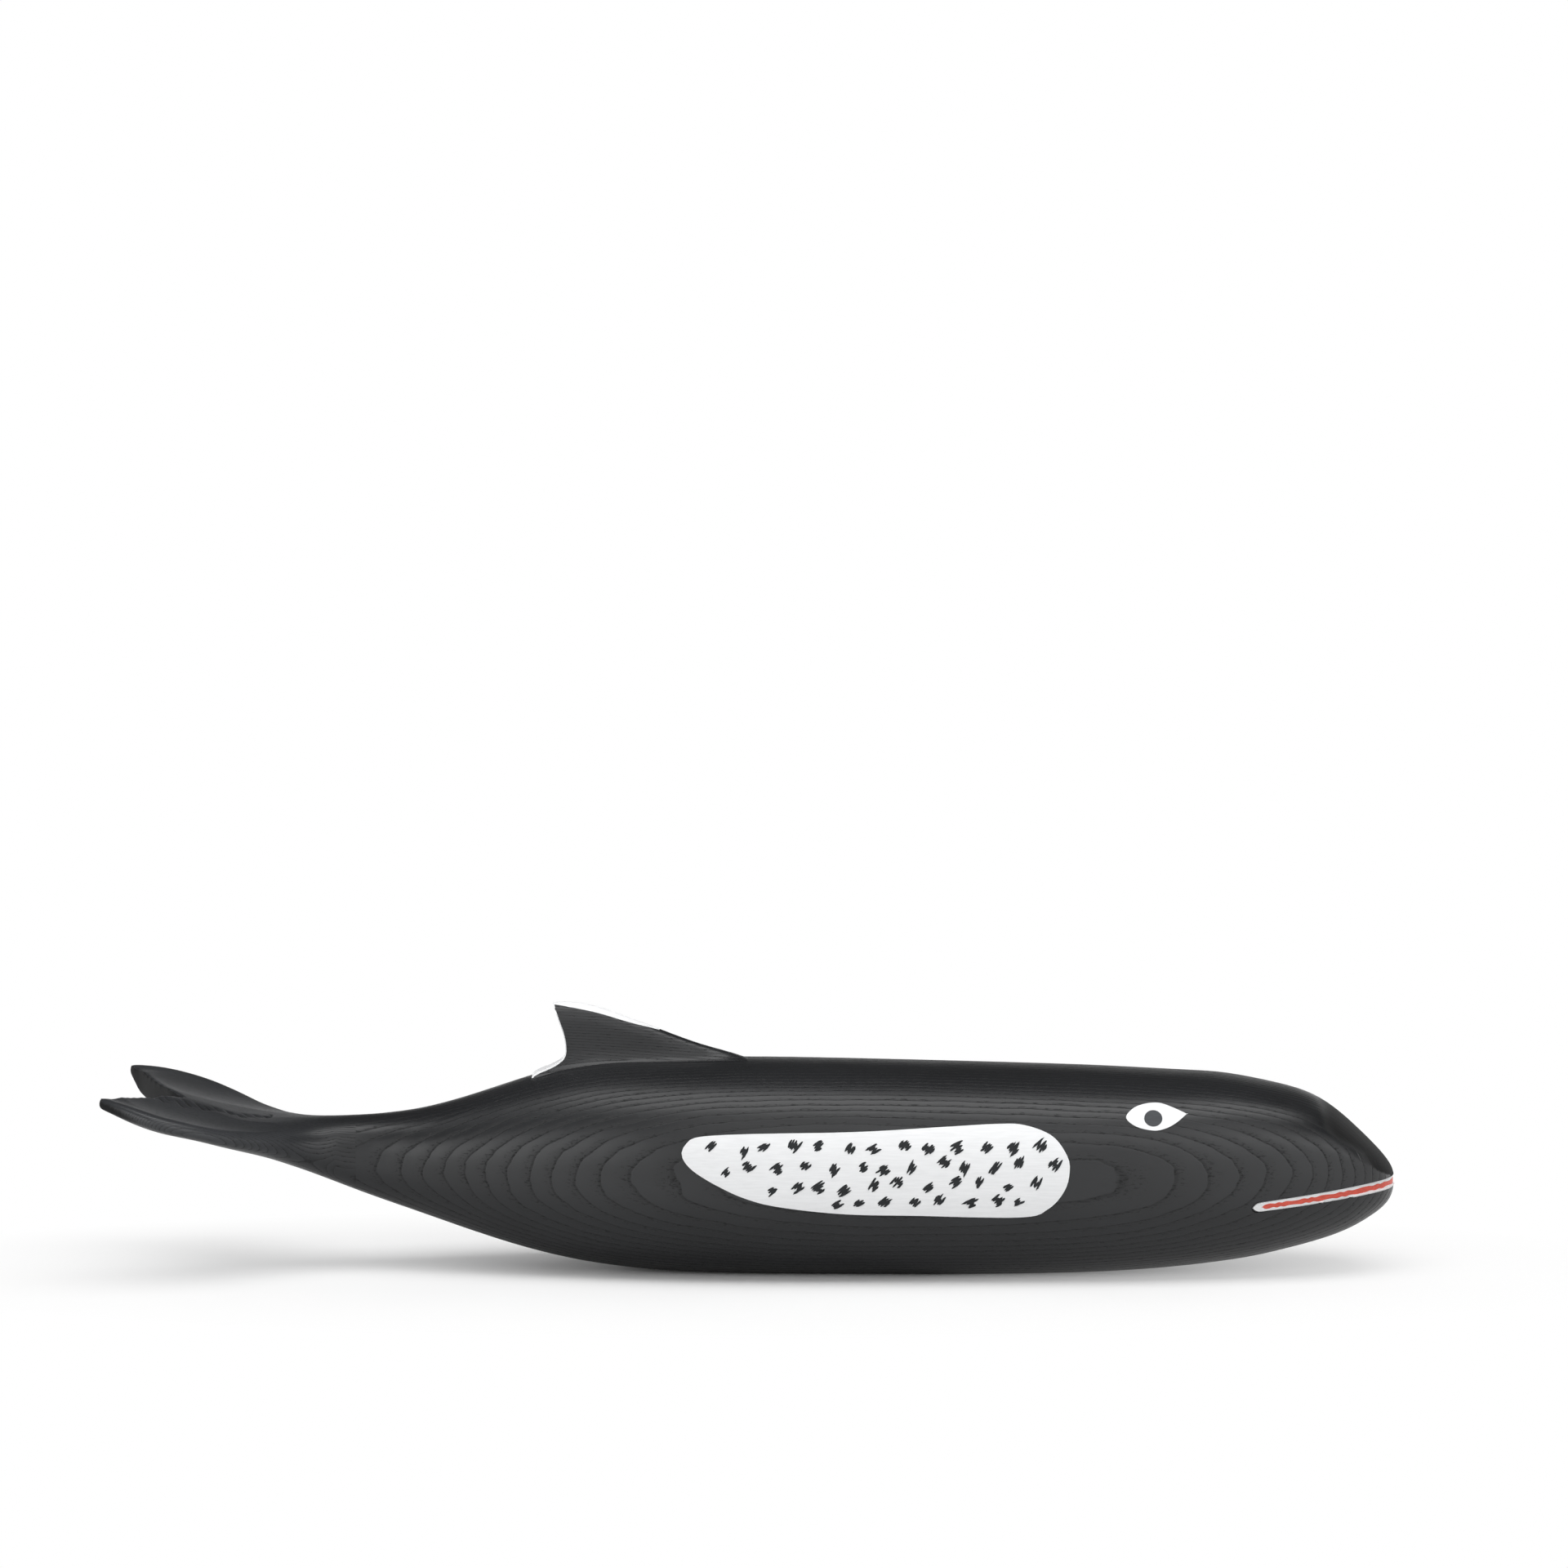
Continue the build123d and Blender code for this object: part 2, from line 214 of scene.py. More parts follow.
def spread(path, count):
    """Takes evenly spaced points along a fine path."""
    reach = [0.0]
    for a, b in zip(path, path[1:]):
        reach.append(reach[-1] + (b - a).length)
    points, i = [], 0
    for step in range(count):
        goal = reach[-1] * step / (count - 1)
        while i < len(path) - 2 and reach[i + 1] < goal:
            i += 1
        span = reach[i + 1] - reach[i]
        points.append(path[i].lerp(path[i + 1], (goal - reach[i]) / span if span else 0))
    return points


def nearest_on_spine(point, spine):
    """Nearest point of a straight spine."""
    start, end = Vector(spine[0]), Vector(spine[1])
    share = (point - start).dot(end - start) / (end - start).length_squared
    return start.lerp(end, min(1, max(0, share)))


def flat_film(name, outline, spine, rings):
    """A flat sheet in the XZ plane: its outline is drawn in towards its spine, ring by ring."""
    deselect()
    bpy.ops.mesh.primitive_circle_add(vertices=len(outline), radius=MM, fill_type="NOTHING")
    piece = bpy.context.object
    piece.name = piece.data.name = name
    for vertex, (x, z) in zip(piece.data.vertices, outline):
        vertex.co = (x * MM, 0, z * MM)
    bpy.ops.object.mode_set(mode="EDIT")
    bpy.ops.mesh.select_all(action="SELECT")
    inner = 1.0
    for ring in rings:
        bpy.ops.mesh.extrude_edges_move()
        edit = bmesh.from_edit_mesh(piece.data)
        for vertex in edit.verts:
            if vertex.select:
                here = Vector((vertex.co.x, vertex.co.z)) / MM
                home = nearest_on_spine(here, spine)
                there = home.lerp(here, ring / inner)
                vertex.co = (there.x * MM, 0, there.y * MM)
        bmesh.update_edit_mesh(piece.data)
        inner = ring or 1.0
    bpy.ops.mesh.select_all(action="SELECT")
    bpy.ops.mesh.remove_doubles(threshold=0.02 * MM)
    bpy.ops.mesh.dissolve_degenerate(threshold=0.02 * MM)
    bpy.ops.object.mode_set(mode="OBJECT")
    return piece


def press_on_flank(piece, guide, side, lift=0.0):
    """Presses a flat sheet sideways onto the wood of one flank."""
    far = side * 0.2
    for vertex in piece.data.vertices:
        hit, place, normal, _ = guide.ray_cast(Vector((vertex.co.x, far, vertex.co.z)), Vector((0, -side, 0)))
        if not hit:
            raise RuntimeError(f"{piece.name} reaches past the wood")
        vertex.co = place + normal * lift


def coat(piece, film, side=None):
    """Turns the sheet's faces outwards, gives it the thickness of paint and smooths it."""
    only(piece)
    bpy.ops.object.mode_set(mode="EDIT")
    bpy.ops.mesh.select_all(action="SELECT")
    bpy.ops.mesh.normals_make_consistent(inside=False)
    bpy.ops.object.mode_set(mode="OBJECT")
    if side is not None and sum(p.normal.y for p in piece.data.polygons) * side < 0:
        bpy.ops.object.mode_set(mode="EDIT")
        bpy.ops.mesh.flip_normals()
        bpy.ops.object.mode_set(mode="OBJECT")
    thickness = piece.modifiers.new("coat", "SOLIDIFY")
    thickness.thickness = film
    thickness.offset = 1.0
    bpy.ops.object.modifier_apply(modifier=thickness.name)
    bpy.ops.object.shade_smooth_by_angle(angle=radians(50))


def finish_paint(piece, material):
    """Gives a painted mark its material and lets it ride on the figurine."""
    piece.data.materials.clear()
    piece.data.materials.append(material)
    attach(piece, "root")


def remove(piece):
    """Deletes a helper object and its mesh."""
    mesh = piece.data
    bpy.data.objects.remove(piece)
    bpy.data.meshes.remove(mesh)


def jitter(seed):
    """A repeatable number between 0 and 1."""
    return (sin(seed * 12.9898) * 43758.5453) % 1.0


def ebonised_ash(name, stain, pores, spacing, cut):
    """Ash stained black: matte, its rings drawn by rough open pores, and blackest where end grain drinks the stain and
    where shade is painted on.
    """
    material, tree, output = new_material(name)
    coords = add_node(tree, "ShaderNodeTexCoord")
    place = coords.outputs["Object"]

    def maths(operation, first, second=0.0, third=0.0):
        links = {k: v for k, v in enumerate((first, second, third)) if not isinstance(v, float)}
        inputs = {k: v for k, v in enumerate((first, second, third)) if isinstance(v, float)}
        return add_node(tree, "ShaderNodeMath", {"operation": operation}, inputs, links).outputs[0]

    def noise(scale, detail, roughness):
        stretched = add_node(tree, "ShaderNodeMapping", inputs={"Scale": scale}, links={"Vector": place})
        return add_node(tree, "ShaderNodeTexNoise", inputs={"Scale": 1.0, "Detail": detail, "Roughness": roughness},
                        links={"Vector": stretched.outputs["Vector"]}).outputs["Fac"]

    def ramp(value, low, high, start, end):
        return add_node(tree, "ShaderNodeMapRange", {"interpolation_type": "SMOOTHSTEP"},
                        {"From Min": low, "From Max": high, "To Min": start, "To Max": end},
                        {"Value": value}).outputs["Result"]

    split = add_node(tree, "ShaderNodeSeparateXYZ", links={"Vector": place})
    facing = add_node(tree, "ShaderNodeSeparateXYZ", links={"Vector": coords.outputs["Normal"]})
    away = maths("MULTIPLY", facing.outputs["X"], maths("SIGN", split.outputs["X"]))
    # Ring planes lie along the flanks, cup towards the heart and bow with the trunk's length
    from_middle = maths("SUBTRACT", split.outputs["X"], 0.06)
    from_heart = maths("SUBTRACT", split.outputs["Z"], 0.0515)
    bow = maths("MULTIPLY", maths("MULTIPLY", from_middle, from_middle), 0.3)
    cup = maths("MULTIPLY", maths("MULTIPLY", from_heart, from_heart), 11.0)
    depth = maths("SUBTRACT", maths("SUBTRACT", maths("ABSOLUTE", split.outputs["Y"]), bow), cup)
    # Rings waver by some millimetres along the trunk and wriggle by one
    waver = maths("MULTIPLY", noise((9, 30, 22), 1.0, 0.4), 1.25 * spacing)
    wriggle = maths("MULTIPLY", noise((38, 70, 80), 2.0, 0.5), 0.55 * spacing)
    turns = maths("DIVIDE", maths("ADD", maths("ADD", depth, waver), wriggle), spacing)
    # The added blocks show their rings as fine lines: level on the fin, and out along each lobe of the fluke
    if cut == "fin":
        fine = maths("ADD", split.outputs["Z"], maths("MULTIPLY", split.outputs["X"], 0.06))
        blade = maths("GREATER_THAN", split.outputs["Z"], 0.1045)
    elif cut == "fluke":
        splay = maths("MULTIPLY", maths("MINIMUM", maths("ADD", split.outputs["X"], 0.205), 0.0), 0.5)
        fine = maths("ADD", maths("ABSOLUTE", split.outputs["Y"]), splay)
        fine = maths("SUBTRACT", fine, maths("MULTIPLY", split.outputs["Z"], 0.6))
        blade = maths("LESS_THAN", split.outputs["X"], 0.0)
    if cut != "board":
        fine = maths("DIVIDE", maths("ADD", fine, maths("MULTIPLY", waver, 0.5)), 0.35 * spacing)
        turns = maths("ADD", maths("MULTIPLY", fine, blade), maths("MULTIPLY", turns, maths("SUBTRACT", 1.0, blade)))
    # End grain shows on the brow of the body and on the cut tips of the fluke. The same darkening is also painted
    # shade: on the rear wall of the fluke's far lobe, and on the snout's rounded edge by the lip, where it darkens
    # away a highlight
    if cut == "fluke":
        # Gouge walls are darkened: partly end grain that drinks the stain, partly painted shadow in the notches
        marks = add_node(tree, "ShaderNodeAttribute", {"attribute_name": "gouge"}).outputs["Fac"]
        end_grain_and_painted_shade = maths("MAXIMUM", ramp(away, 0.3, 0.6, 0.0, 1.0), marks)
    else:
        brow = maths("MULTIPLY", ramp(away, 0.36, 0.58, 0.0, 1.0), ramp(facing.outputs["Z"], 0.2, 0.55, 0.0, 1.0))
        snout_end_grain_and_shade = maths("MULTIPLY", ramp(away, 0.58, 0.74, 0.0, 1.0), ramp(facing.outputs["Z"], 0.02, 0.2, 0.0, 1.0))
        end_grain_and_painted_shade = maths("MAXIMUM", brow, snout_end_grain_and_shade)
    # Each ring darkens slowly, ends in a line of open pores and starts again pale
    ring = maths("FRACT", turns)
    line = maths("MAXIMUM", ramp(ring, 0.82, 0.96, 0.0, 1.0), ramp(ring, 0.05, 0.0, 0.0, 1.0))
    fade = maths("MULTIPLY", maths("POWER", ring, 1.6), 0.44)
    # Pores are dashes along the grain, drawn about twice as coarse as real ones so that they show: 3 mm by 0.8 mm
    pore = ramp(noise((330, 1250, 1250), 2.0, 0.6), 0.50, 0.64, 0.0, 1.0)
    row = maths("MULTIPLY", pore, ramp(ring, 0.35, 0.9, 0.1, 0.75))
    dark = maths("MAXIMUM", maths("MULTIPLY", line, ramp(pore, 0.0, 1.0, 0.6, 1.0)), maths("MAXIMUM", fade, row))
    # Stain takes unevenly over a few centimetres, and has worn thinner on the lobes of the fluke
    tone = ramp(noise((16, 34, 34), 3.0, 0.5), 0.3, 0.7, 0.86, 1.14)
    if cut == "fluke":
        tone = maths("MULTIPLY", tone, ramp(split.outputs["X"], -0.24, -0.2, 2.4, 1.0))
    grain = add_node(tree, "ShaderNodeMix", {"data_type": "RGBA"},
                     {"A": linear(stain), "B": linear(pores)}, {"Factor": dark})
    # Where end grain shows or shade is painted, the colour drops to 0.15 of itself
    shade = add_node(tree, "ShaderNodeVectorMath", {"operation": "SCALE"},
                     links={0: grain.outputs["Result"], "Scale": maths("MULTIPLY", tone, ramp(end_grain_and_painted_shade, 0.0, 1.0, 1.0, 0.15))})
    rough = maths("MAXIMUM", ramp(dark, 0.0, 1.0, 0.32, 0.8), end_grain_and_painted_shade)
    bump = add_node(tree, "ShaderNodeBump", inputs={"Strength": 0.6, "Distance": 0.15 * MM},
                    links={"Height": maths("SUBTRACT", 1.0, dark)})
    surface = add_node(tree, "ShaderNodeBsdfPrincipled", inputs={"IOR": 1.5, "Specular IOR Level": 0.5},
                       links={"Base Color": shade.outputs[0], "Roughness": rough, "Normal": bump.outputs["Normal"]})
    tree.links.new(surface.outputs["BSDF"], output.inputs["Surface"])
    return material


def brushed_paint(name, hex_colour, streak, roughness):
    """Acrylic laid on with a small brush: nearly flat, with bristle streaks along the body."""
    material, tree, output = new_material(name)
    place = add_node(tree, "ShaderNodeTexCoord").outputs["Object"]
    bristle_map = add_node(tree, "ShaderNodeMapping", inputs={"Scale": (90, 900, 1100)}, links={"Vector": place})
    bristle = add_node(tree, "ShaderNodeTexNoise", inputs={"Scale": 1.0, "Detail": 3.0, "Roughness": 0.55},
                       links={"Vector": bristle_map.outputs["Vector"]})
    colour = linear(hex_colour)
    thin = tuple(c * (1 - streak) for c in colour[:3]) + (1.0,)
    ramp = add_node(tree, "ShaderNodeMapRange", {}, {"From Min": 0.35, "From Max": 0.62},
                    {"Value": bristle.outputs["Fac"]})
    tint = add_node(tree, "ShaderNodeMix", {"data_type": "RGBA"}, {"A": thin, "B": colour},
                    {"Factor": ramp.outputs["Result"]})
    bump = add_node(tree, "ShaderNodeBump", inputs={"Strength": 0.35, "Distance": 0.05 * MM},
                    links={"Height": bristle.outputs["Fac"]})
    surface = add_node(tree, "ShaderNodeBsdfPrincipled", inputs={"IOR": 1.48, "Roughness": roughness, "Specular IOR Level": 0.25},
                       links={"Base Color": tint.outputs["Result"], "Normal": bump.outputs["Normal"]})
    tree.links.new(surface.outputs["BSDF"], output.inputs["Surface"])
    return material


def turned_beech(name, colours):
    """Plain beech dowel: pale, fine-grained, with short flecks along its length."""
    material, tree, output = new_material(name)
    place = add_node(tree, "ShaderNodeTexCoord").outputs["Object"]
    fleck = add_node(tree, "ShaderNodeTexNoise", inputs={"Scale": 900.0, "Detail": 3.0, "Roughness": 0.6},
                     links={"Vector": place})
    base = linear(colours.dowel)
    tint = add_node(tree, "ShaderNodeMix", {"data_type": "RGBA"},
                    {"A": tuple(c * 0.8 for c in base[:3]) + (1.0,), "B": base}, {"Factor": fleck.outputs["Fac"]})
    surface = add_node(tree, "ShaderNodeBsdfPrincipled", inputs={"IOR": 1.5, "Roughness": 0.6},
                       links={"Base Color": tint.outputs["Result"]})
    tree.links.new(surface.outputs["BSDF"], output.inputs["Surface"])
    return material


class WHALE_OT_stain(bpy.types.Operator):
    """Stain the carved boards and the dorsal fin, and leave the dowels plain"""

    bl_idname = "whale.stain"
    bl_label = "Stain the ash"

    def execute(self, context):
        sizes, colours = context.scene.whale_sizes, context.scene.whale_colours
        boards = ebonised_ash("ebonised_ash", colours.stain, colours.ring, sizes.ring_spacing, "board")
        fin = ebonised_ash("ebonised_ash_fin", colours.stain, colours.ring, sizes.ring_spacing, "fin")
        beech = turned_beech("turned_beech", colours)
        for nodes, material in ((BOARDS + ("tail_fluke",), boards), (("dorsal_fin",), fin), (DOWELS, beech)):
            for node in nodes:
                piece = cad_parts[node]
                piece.data.materials.clear()
                piece.data.materials.append(material)
        return {"FINISHED"}


class WHALE_OT_fluke(bpy.types.Operator):
    """Ease the tips of the tail fluke and leave the marks of the gouge across its middle"""

    bl_idname = "whale.fluke"
    bl_label = "Carve the fluke"

    def execute(self, context):
        sizes, colours = context.scene.whale_sizes, context.scene.whale_colours
        fluke = wood_guide("tail_fluke")
        fluke.name = fluke.data.name = "carved_fluke"
        joint = max(v.co.x for v in fluke.data.vertices)
        self.reach_into_body(fluke, joint)
        even = fluke.modifiers.new("even", "REMESH")
        even.mode = "VOXEL"
        even.voxel_size = sizes.eased_edge
        bpy.ops.object.modifier_apply(modifier=even.name)
        self.ease(fluke, joint)
        self.thicken(fluke)
        self.gouge(fluke, sizes)
        only(fluke)
        bpy.ops.object.shade_smooth()
        fluke.data.materials.clear()
        fluke.data.materials.append(ebonised_ash("ebonised_ash_fluke", colours.stain, colours.ring,
                                                 sizes.ring_spacing, "fluke"))
        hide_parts("tail_fluke")
        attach(fluke, "root")
        return {"FINISHED"}

    def reach_into_body(self, fluke, joint):
        """Draws the joint's face a little into the body, so that its eased rim doesn't show."""
        only(fluke)
        bpy.ops.object.mode_set(mode="EDIT")
        bpy.ops.mesh.select_mode(type="FACE")
        bpy.ops.mesh.select_all(action="DESELECT")
        edit = bmesh.from_edit_mesh(fluke.data)
        for face in edit.faces:
            face.select_set(all(v.co.x > joint - 0.01 * MM for v in face.verts))
        bmesh.update_edit_mesh(fluke.data)
        bpy.ops.mesh.extrude_region_move(TRANSFORM_OT_translate={"value": (2 * MM, 0, 0)})
        bpy.ops.transform.resize(value=(1.0, 0.98, 0.98))
        bpy.ops.object.mode_set(mode="OBJECT")

    def ease(self, fluke, joint):
        """Rounds the tips and seats the rest back on the carved form."""
        tips = fluke.vertex_groups.new(name="tips")
        seat = fluke.vertex_groups.new(name="seat")
        for vertex in fluke.data.vertices:
            tip = min(1.0, max(0.0, (-0.245 - vertex.co.x) / 0.02))
            tips.add([vertex.index], tip, "REPLACE")
            seat.add([vertex.index], 1.0 - tip if vertex.co.x < joint - 0.3 * MM else 0.0, "REPLACE")
        for name, group, rounds in (("settle", "", 3), ("round", "tips", 20)):
            smooth = fluke.modifiers.new(name, "SMOOTH")
            smooth.factor = 0.5
            smooth.iterations = rounds
            smooth.vertex_group = group
            bpy.ops.object.modifier_apply(modifier=smooth.name)
        wrap = fluke.modifiers.new("seat", "SHRINKWRAP")
        wrap.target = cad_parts["tail_fluke"]
        wrap.vertex_group = "seat"
        bpy.ops.object.modifier_apply(modifier=wrap.name)
        fluke.vertex_groups.clear()

    def thicken(self, fluke):
        """Leaves the rear wall of the far lobe taller, as the carver did, by lowering its underside."""
        def step(value, low, high):
            share = min(1.0, max(0.0, (value - low) / (high - low)))
            return share * share * (3 - 2 * share)

        for vertex in fluke.data.vertices:
            inwards, out, level = vertex.co.x / MM + 315, vertex.co.y / MM, vertex.co.z / MM
            top = 92.8 - 0.17 * inwards - 0.0036 * inwards ** 2
            low = min(1.0, max(0.0, (top - level) / 7))
            place = (1 - step(inwards, 12, 32)) * step(out, 8, 26) * (1 - step(out, 50, 62))
            vertex.co.z -= 4.5 * MM * low * place

    def gouge(self, fluke, sizes):
        """Cuts a row of slanting scallops, and notes their steep walls, which the material darkens: partly stain drunk
        by end grain, partly painted shadow in the notches.
        """
        start, end = (Vector(p) * MM for p in GOUGE_LINE)
        marks = fluke.data.attributes.new("gouge", "FLOAT", "POINT")
        for vertex in fluke.data.vertices:
            x, y = vertex.co.x, vertex.co.y
            share = (x - start.x) / (end.x - start.x)
            cut, turn = divmod((x + 0.5 * y) / sizes.gouge_pitch, 1.0)
            reach = sizes.gouge_reach * (0.5 + 0.7 * jitter(cut * 1.7))
            slip = sizes.gouge_reach * (jitter(cut * 2.3 + 5) - 0.5)
            bite = 0.4 + 0.6 * jitter(cut * 3.1 + 9)
            off = abs(y - slip - (start.y + share * (end.y - start.y))) / reach
            if vertex.normal.z < 0.6 or not 0 < share < 1 or off > 1:
                continue
            turn = max(0.0, turn - 0.25 * jitter(cut * 4.3 + 2))
            hollow = (1 - turn) * min(1.0, 4 * turn) * (1 - off ** 2)
            vertex.co.z -= sizes.gouge_depth * bite * hollow
            # Darkening of each wall: partly end grain, partly painted shadow in the notch
            wall = min(1.0, max(0.0, 2.4 - 8 * abs(turn - 0.26)))
            marks.data[vertex.index].value = bite * wall * (1 - off ** 4)


class WHALE_OT_patches(bpy.types.Operator):
    """Paint the white patch on each flank"""

    bl_idname = "whale.patches"
    bl_label = "Paint the flank patches"

    def execute(self, context):
        sizes, colours = context.scene.whale_sizes, context.scene.whale_colours
        paint = brushed_paint("white_acrylic", colours.white, 0.05, 0.55)
        outline = [(p.x, p.y) for p in smooth_loop(PATCH_OUTLINE, 160)]
        for name, side in FLANKS:
            guide = wood_guide(f"{name}_board")
            patch = flat_film(f"{name}_patch", outline, PATCH_SPINE,
                              (0.97, 0.9, 0.8, 0.68, 0.55, 0.42, 0.28, 0.14, 0.0))
            press_on_flank(patch, guide, side)
            coat(patch, sizes.film, side)
            finish_paint(patch, paint)
            remove(guide)
        return {"FINISHED"}


class WHALE_OT_dabs(bpy.types.Operator):
    """Dab the patches with short strokes of a nearly dry brush"""

    bl_idname = "whale.dabs"
    bl_label = "Paint the brush dabs"

    def execute(self, context):
        sizes, colours = context.scene.whale_sizes, context.scene.whale_colours
        paint = brushed_paint("dry_brush_black", colours.dab, 0.25, 0.7)
        edge = [Vector((p.x, p.y)) for p in smooth_loop(PATCH_OUTLINE, 240)]
        low = min(p.y for p in edge)
        for name, side in FLANKS:
            guide = wood_guide(f"{name}_board")
            marks = []
            for row in range(5):
                z = low + (5.2 + row * sizes.dab_rows / MM)
                for column in range(-3, 13):
                    seed = row * 37.0 + column * 5.0 + side
                    x = (column + 0.5 * (row % 2)) * sizes.dab_spacing / MM + 5.0 * (jitter(seed) - 0.5)
                    here = Vector((x, z + 4.2 * (jitter(seed + 0.3) - 0.5) + 0.02 * x))
                    if not self.inside(here, edge) or min((here - p).length for p in edge) < 4.4:
                        continue
                    marks += self.dab(here, seed, sizes.dab_size / MM)
            deselect()
            for mark in marks:
                mark.select_set(True)
            bpy.context.view_layer.objects.active = marks[0]
            bpy.ops.object.join()
            dabs = bpy.context.object
            dabs.name = dabs.data.name = f"{name}_dabs"
            bpy.ops.object.transform_apply(location=True, rotation=True, scale=True)
            press_on_flank(dabs, guide, side, 1.4 * sizes.film)
            coat(dabs, 0.5 * sizes.film, side)
            finish_paint(dabs, paint)
            remove(guide)
        return {"FINISHED"}

    def inside(self, point, edge):
        """Whether a point lies inside a closed outline."""
        crossings = 0
        for a, b in zip(edge, edge[1:] + edge[:1]):
            if (a.y > point.y) != (b.y > point.y):
                crossings += point.x < a.x + (point.y - a.y) / (b.y - a.y) * (b.x - a.x)
        return crossings % 2 == 1

    def dab(self, here, seed, length):
        """One dab: a few bristle marks side by side, fanned out and of uneven length."""
        marks = []
        count = 3 + int(3 * jitter(seed + 1.7))
        lean = radians(46 + 40 * (jitter(seed + 2.9) - 0.5))
        for i in range(count):
            along = length * (0.55 + 0.7 * jitter(seed + 3.1 * i + 4))
            off = (i - (count - 1) / 2) * length * 0.18
            slip = length * 0.3 * (jitter(seed + 1.3 * i + 7) - 0.5)
            turn = lean + radians(22) * (jitter(seed + 2.3 * i + 9) - 0.5)
            bpy.ops.mesh.primitive_circle_add(vertices=14, radius=0.5 * MM, fill_type="NGON")
            mark = bpy.context.object
            for vertex in mark.data.vertices:
                x, y = vertex.co.x, vertex.co.y
                rag = jitter(seed + vertex.index * 1.9 + i)
                vertex.co.x = x * along * (0.9 + 0.35 * rag)
                vertex.co.y = y * length * 0.21 * (0.8 + 0.5 * jitter(seed + vertex.index * 2.7 + i))
            mark.rotation_euler = (pi / 2, -turn, 0)
            mark.location = Vector((here.x + slip * cos(turn) - off * sin(turn), 0,
                                    here.y + slip * sin(turn) + off * cos(turn))) * MM
            marks.append(mark)
        return marks


class WHALE_OT_eyes(bpy.types.Operator):
    """Paint an almond eye and its pupil on each side of the head"""

    bl_idname = "whale.eyes"
    bl_label = "Paint the eyes"

    def execute(self, context):
        sizes, colours = context.scene.whale_sizes, context.scene.whale_colours
        white = brushed_paint("eye_white", colours.white, 0.03, 0.5)
        grey = brushed_paint("pupil_grey", colours.pupil, 0.15, 0.6)
        almond = [(p.x, p.y) for p in smooth_loop(EYE_OUTLINE, 64)]
        wide = sizes.pupil / MM / 2
        x, z = PUPIL_MIDDLE
        round_pupil = [(x + wide * cos(2 * pi * k / 32), z + 0.82 * wide * sin(2 * pi * k / 32))
                       for k in range(32)]
        for name, side in FLANKS:
            guide = wood_guide(f"{name}_board")
            eye = flat_film(f"{name}_eye", almond, EYE_SPINE, (0.93, 0.75, 0.5, 0.25, 0.0))
            press_on_flank(eye, guide, side)
            coat(eye, sizes.film, side)
            finish_paint(eye, white)
            pupil = flat_film(f"{name}_pupil", round_pupil, [(x - 0.1, z), (x + 0.1, z)], (0.8, 0.4, 0.0))
            press_on_flank(pupil, guide, side, sizes.film)
            coat(pupil, 0.5 * sizes.film, side)
            finish_paint(pupil, grey)
            remove(guide)
        return {"FINISHED"}


class WHALE_OT_mouth(bpy.types.Operator):
    """Paint the white band and the red line along the groove of the mouth"""

    bl_idname = "whale.mouth"
    bl_label = "Paint the mouth"

    def execute(self, context):
        sizes, colours = context.scene.whale_sizes, context.scene.whale_colours
        guide = wood_guide(*BOARDS)
        white = brushed_paint("lip_white", colours.white, 0.04, 0.5)
        red = brushed_paint("lip_red", colours.red, 0.2, 0.5)
        band = self.strip("mouth_band", guide, sizes.lip_band, 0.0, 1.2, 0.0)
        coat(band, sizes.lip_fill)
        finish_paint(band, white)
        core = self.strip("mouth_line", guide, sizes.lip_core, 0.22, 5.6, sizes.lip_fill)
        coat(core, 0.5 * sizes.film)
        finish_paint(core, red)
        remove(guide)
        return {"FINISHED"}

    def level(self, x):
        """Height of the mouth's middle line at x, in millimetres."""
        for (x0, z0), (x1, z1) in zip(MOUTH_LINE, MOUTH_LINE[1:]):
            if x <= x1:
                return z0 + (z1 - z0) * (x - x0) / (x1 - x0)
        return MOUTH_LINE[-1][1]

    def strip(self, name, guide, tall, wobble, short, lift):
        """A strip of paint from one corner of the mouth round the snout to the other."""
        columns, rows = 220, 6
        rear = MOUTH_LINE[0][0] - 2.7 + short
        deselect()
        bpy.ops.mesh.primitive_grid_add(x_subdivisions=columns, y_subdivisions=rows, size=2)
        piece = bpy.context.object
        piece.name = piece.data.name = name
        reach = radians(97)
        for vertex in piece.data.vertices:
            share, across = vertex.co.x, vertex.co.y
            angle = reach * share
            away = Vector((cos(angle), sin(angle), 0))
            middle = Vector((MOUTH_MIDDLE_X * MM, 0, MOUTH_LINE[1][1] * MM))
            place = normal = None
            for _ in range(3):
                hit, place, normal, _ = guide.ray_cast(middle + away * 0.2, -away)
                if not hit:
                    raise RuntimeError("the mouth reaches past the wood")
                x = place.x / MM
                end = min(1.0, max(0.0, (x - rear) / (0.8 * tall / MM)))
                grow = 0.84 + 0.16 * min(1.0, max(0.0, (x - rear) / 40))
                half = tall / 2 * grow * (1 - (1 - end) ** 2) ** 0.5
                edge = wobble * MM * sin(share * 84 + 1.7 * sin(share * 31) + across) * abs(across) * end
                middle.z = self.level(x) * MM + across * half + edge
            vertex.co = place + normal * lift
        only(piece)
        bpy.ops.object.mode_set(mode="EDIT")
        edit = bmesh.from_edit_mesh(piece.data)
        for face in edit.faces:
            face.select = all(v.co.x / MM < rear for v in face.verts)
        bmesh.update_edit_mesh(piece.data)
        bpy.ops.mesh.delete(type="FACE")
        bpy.ops.mesh.select_all(action="SELECT")
        bpy.ops.mesh.remove_doubles(threshold=0.02 * MM)
        bpy.ops.object.mode_set(mode="OBJECT")
        return piece


